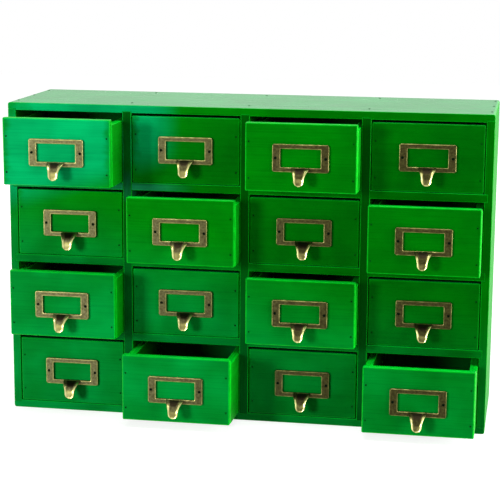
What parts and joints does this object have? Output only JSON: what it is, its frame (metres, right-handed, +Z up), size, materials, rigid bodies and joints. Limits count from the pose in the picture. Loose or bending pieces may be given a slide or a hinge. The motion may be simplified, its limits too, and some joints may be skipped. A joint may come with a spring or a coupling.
{
  "type": "tabletop apothecary cabinet",
  "caption": "Tabletop apothecary cabinet of green-stained boards: a nailed case of small sliding drawers, each with an antique brass card-frame pull.",
  "frame": {"origin": "centre of the case's underside, on the surface it stands on", "axes": "+X to the right seen from the front, +Y to the back, +Z up; drawers open along -Y"},
  "size_m": [0.53, 0.219, 0.347],
  "materials": {
    "stained_wood": "green stain under satin varnish",
    "antique_brass": "dark patina, rubbed bright on edges and tips",
    "nail_iron": "dull, stained over"
  },
  "bodies": {
    "case": {"top_panel": "stained_wood", "bottom_panel": "stained_wood", "left_side": "stained_wood", "right_side": "stained_wood", "back_panel": "stained_wood", "divider_1": "stained_wood", "divider_2": "stained_wood", "divider_3": "stained_wood", "shelf_1": "stained_wood", "shelf_2": "stained_wood", "shelf_3": "stained_wood", "case_nails": "nail_iron"},
    "drawer_r1c1": {"front_r1c1": "stained_wood", "box_r1c1": "stained_wood", "pull_r1c1": "antique_brass"},
    "drawer_r1c2": {"front_r1c2": "stained_wood", "box_r1c2": "stained_wood", "pull_r1c2": "antique_brass"},
    "drawer_r1c3": {"front_r1c3": "stained_wood", "box_r1c3": "stained_wood", "pull_r1c3": "antique_brass"},
    "drawer_r1c4": {"front_r1c4": "stained_wood", "box_r1c4": "stained_wood", "pull_r1c4": "antique_brass"},
    "drawer_r2c1": {"front_r2c1": "stained_wood", "box_r2c1": "stained_wood", "pull_r2c1": "antique_brass"},
    "drawer_r2c2": {"front_r2c2": "stained_wood", "box_r2c2": "stained_wood", "pull_r2c2": "antique_brass"},
    "drawer_r2c3": {"front_r2c3": "stained_wood", "box_r2c3": "stained_wood", "pull_r2c3": "antique_brass"},
    "drawer_r2c4": {"front_r2c4": "stained_wood", "box_r2c4": "stained_wood", "pull_r2c4": "antique_brass"},
    "drawer_r3c1": {"front_r3c1": "stained_wood", "box_r3c1": "stained_wood", "pull_r3c1": "antique_brass"},
    "drawer_r3c2": {"front_r3c2": "stained_wood", "box_r3c2": "stained_wood", "pull_r3c2": "antique_brass"},
    "drawer_r3c3": {"front_r3c3": "stained_wood", "box_r3c3": "stained_wood", "pull_r3c3": "antique_brass"},
    "drawer_r3c4": {"front_r3c4": "stained_wood", "box_r3c4": "stained_wood", "pull_r3c4": "antique_brass"},
    "drawer_r4c1": {"front_r4c1": "stained_wood", "box_r4c1": "stained_wood", "pull_r4c1": "antique_brass"},
    "drawer_r4c2": {"front_r4c2": "stained_wood", "box_r4c2": "stained_wood", "pull_r4c2": "antique_brass"},
    "drawer_r4c3": {"front_r4c3": "stained_wood", "box_r4c3": "stained_wood", "pull_r4c3": "antique_brass"},
    "drawer_r4c4": {"front_r4c4": "stained_wood", "box_r4c4": "stained_wood", "pull_r4c4": "antique_brass"}
  },
  "joints": [
    {"name": "slide_r1c1", "type": "slide", "parent": "case", "child": "drawer_r1c1", "axis": [0, -1, 0], "range_m": [-0.048, 0.062]},
    {"name": "slide_r1c2", "type": "slide", "parent": "case", "child": "drawer_r1c2", "axis": [0, -1, 0], "range_m": [0, 0.11]},
    {"name": "slide_r1c3", "type": "slide", "parent": "case", "child": "drawer_r1c3", "axis": [0, -1, 0], "range_m": [-0.032, 0.078]},
    {"name": "slide_r1c4", "type": "slide", "parent": "case", "child": "drawer_r1c4", "axis": [0, -1, 0], "range_m": [0, 0.11]},
    {"name": "slide_r2c1", "type": "slide", "parent": "case", "child": "drawer_r2c1", "axis": [0, -1, 0], "range_m": [0, 0.11]},
    {"name": "slide_r2c2", "type": "slide", "parent": "case", "child": "drawer_r2c2", "axis": [0, -1, 0], "range_m": [-0.029, 0.081]},
    {"name": "slide_r2c3", "type": "slide", "parent": "case", "child": "drawer_r2c3", "axis": [0, -1, 0], "range_m": [0, 0.11]},
    {"name": "slide_r2c4", "type": "slide", "parent": "case", "child": "drawer_r2c4", "axis": [0, -1, 0], "range_m": [-0.028, 0.082]},
    {"name": "slide_r3c1", "type": "slide", "parent": "case", "child": "drawer_r3c1", "axis": [0, -1, 0], "range_m": [-0.035, 0.075]},
    {"name": "slide_r3c2", "type": "slide", "parent": "case", "child": "drawer_r3c2", "axis": [0, -1, 0], "range_m": [0, 0.11]},
    {"name": "slide_r3c3", "type": "slide", "parent": "case", "child": "drawer_r3c3", "axis": [0, -1, 0], "range_m": [-0.025, 0.085]},
    {"name": "slide_r3c4", "type": "slide", "parent": "case", "child": "drawer_r3c4", "axis": [0, -1, 0], "range_m": [0, 0.11]},
    {"name": "slide_r4c1", "type": "slide", "parent": "case", "child": "drawer_r4c1", "axis": [0, -1, 0], "range_m": [0, 0.11]},
    {"name": "slide_r4c2", "type": "slide", "parent": "case", "child": "drawer_r4c2", "axis": [0, -1, 0], "range_m": [-0.052, 0.058]},
    {"name": "slide_r4c3", "type": "slide", "parent": "case", "child": "drawer_r4c3", "axis": [0, -1, 0], "range_m": [0, 0.11]},
    {"name": "slide_r4c4", "type": "slide", "parent": "case", "child": "drawer_r4c4", "axis": [0, -1, 0], "range_m": [-0.048, 0.062]}
  ]
}
